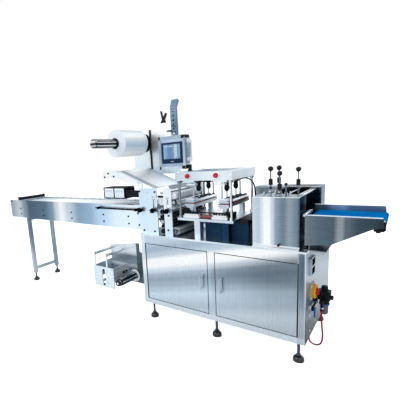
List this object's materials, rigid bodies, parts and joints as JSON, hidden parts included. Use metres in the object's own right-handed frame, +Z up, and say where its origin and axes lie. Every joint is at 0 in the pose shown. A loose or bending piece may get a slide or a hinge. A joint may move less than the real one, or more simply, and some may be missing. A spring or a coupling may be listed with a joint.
{
  "type": "four side seal packing machine",
  "caption": "Four side seal packing machine: cabinet with doors, film reels, heat seal platens, cutter housings and two belt conveyors.",
  "frame": {"origin": "centre of the bounding box on the floor", "axes": "+X along the line from the long conveyor to the discharge, +Y from the front with the doors to the back, +Z up"},
  "size_m": [3.584, 0.893, 1.805],
  "materials": {
    "brushed_stainless": "brushed",
    "white_plate": "satin",
    "chrome_bar": "polished",
    "black_rubber": "matt",
    "white_belt": "matt",
    "blue_belt": "matt",
    "black_plastic": "matt",
    "black_steel": "satin",
    "blue_cover": "satin",
    "aluminium": "satin",
    "screen_box": "satin",
    "film": "gloss",
    "red_plastic": "gloss",
    "red_rubber": "matt",
    "clear_bowl": "gloss",
    "red_hose": "satin",
    "blue_plastic": "satin",
    "yellow_plate": "satin"
  },
  "bodies": {
    "machine": {"cabinet_frame": "brushed_stainless", "worktop": "brushed_stainless", "cabinet_panels": "brushed_stainless", "levelling_feet": "black_plastic", "conveyor_plates": "white_plate", "conveyor_belt": "white_belt", "belt_rollers": "chrome_bar", "conveyor_bed": "brushed_stainless", "conveyor_cross_bar": "black_plastic", "conveyor_stand": "brushed_stainless", "roller_unit_plates": "white_plate", "rubber_rollers": "black_rubber", "film_rollers": "film", "steel_rollers": "chrome_bar", "star_knobs": "black_plastic", "film_arms": "white_plate", "film_cover": "white_plate", "reel_panel": "white_plate", "reel_post": "aluminium", "reel_clamps": "black_plastic", "control_box": "black_steel", "sealing_base": "aluminium", "sealing_posts": "chrome_bar", "sealing_top_frame": "aluminium", "seal_cylinders": "black_plastic", "lower_platens": "aluminium", "seal_strips": "red_rubber", "emergency_stops": "red_plastic", "drive_cover": "blue_cover", "seal_hose": "black_rubber", "hmi_base": "black_steel", "front_housing": "brushed_stainless", "back_housing": "brushed_stainless", "cutter_bed": "black_steel", "cutter_rolls": "black_rubber", "cutter_rods": "chrome_bar", "pressure_levers": "chrome_bar", "lever_balls": "black_plastic", "discharge_plates": "brushed_stainless", "discharge_belt": "blue_belt", "outlet_socket": "black_plastic", "switch_plate": "yellow_plate", "air_unit": "black_plastic", "air_bowl": "clear_bowl", "air_hose": "red_hose", "lower_reel_bracket": "brushed_stainless"},
    "left_door": {"left_door": "brushed_stainless", "left_door_latch": "aluminium"},
    "right_door": {"right_door": "brushed_stainless", "right_door_latch": "aluminium"},
    "upper_reel": {"reel_shaft": "chrome_bar", "reel_flange": "black_plastic", "film_roll": "film"},
    "lower_reel": {"lower_reel_shaft": "chrome_bar"},
    "left_press": {"left_upper_platen": "aluminium"},
    "right_press": {"right_upper_platen": "aluminium"},
    "operator_panel": {"hmi_panel": "screen_box", "hmi_arm": "black_steel"},
    "main_switch": {"main_switch": "red_plastic"},
    "valve_handle": {"valve_handle": "blue_plastic"}
  },
  "joints": [
    {"name": "left_door_hinge", "type": "hinge", "parent": "machine", "child": "left_door", "pos_m": [0.2765, -0.279, 0.4175], "axis": [0, 0, -1], "range_deg": [0, 110]},
    {"name": "right_door_hinge", "type": "hinge", "parent": "machine", "child": "right_door", "pos_m": [1.3865, -0.279, 0.4175], "axis": [0, 0, 1], "range_deg": [0, 110]},
    {"name": "upper_reel_spin", "type": "hinge", "parent": "machine", "child": "upper_reel", "pos_m": [-0.0575, -0.037, 1.455], "axis": [0, 1, 0], "continuous": true},
    {"name": "lower_reel_spin", "type": "hinge", "parent": "machine", "child": "lower_reel", "pos_m": [-0.0625, -0.187, 0.248], "axis": [0, 1, 0], "continuous": true},
    {"name": "left_press_slide", "type": "slide", "parent": "machine", "child": "left_press", "axis": [0, 0, 1], "range_m": [0, 0.04]},
    {"name": "right_press_slide", "type": "slide", "parent": "machine", "child": "right_press", "axis": [0, 0, 1], "range_m": [0, 0.04]},
    {"name": "operator_panel_swivel", "type": "hinge", "parent": "machine", "child": "operator_panel", "pos_m": [0.5685, -0.0495, 1.23], "axis": [0, 0, 1], "range_deg": [-60, 60]},
    {"name": "main_switch_turn", "type": "hinge", "parent": "machine", "child": "main_switch", "pos_m": [1.4595, -0.127, 0.437], "axis": [1, 0, 0], "range_deg": [0, 90]},
    {"name": "air_valve_turn", "type": "hinge", "parent": "machine", "child": "valve_handle", "pos_m": [1.4655, -0.167, 0.335], "axis": [1, 0, 0], "range_deg": [0, 90]}
  ]
}
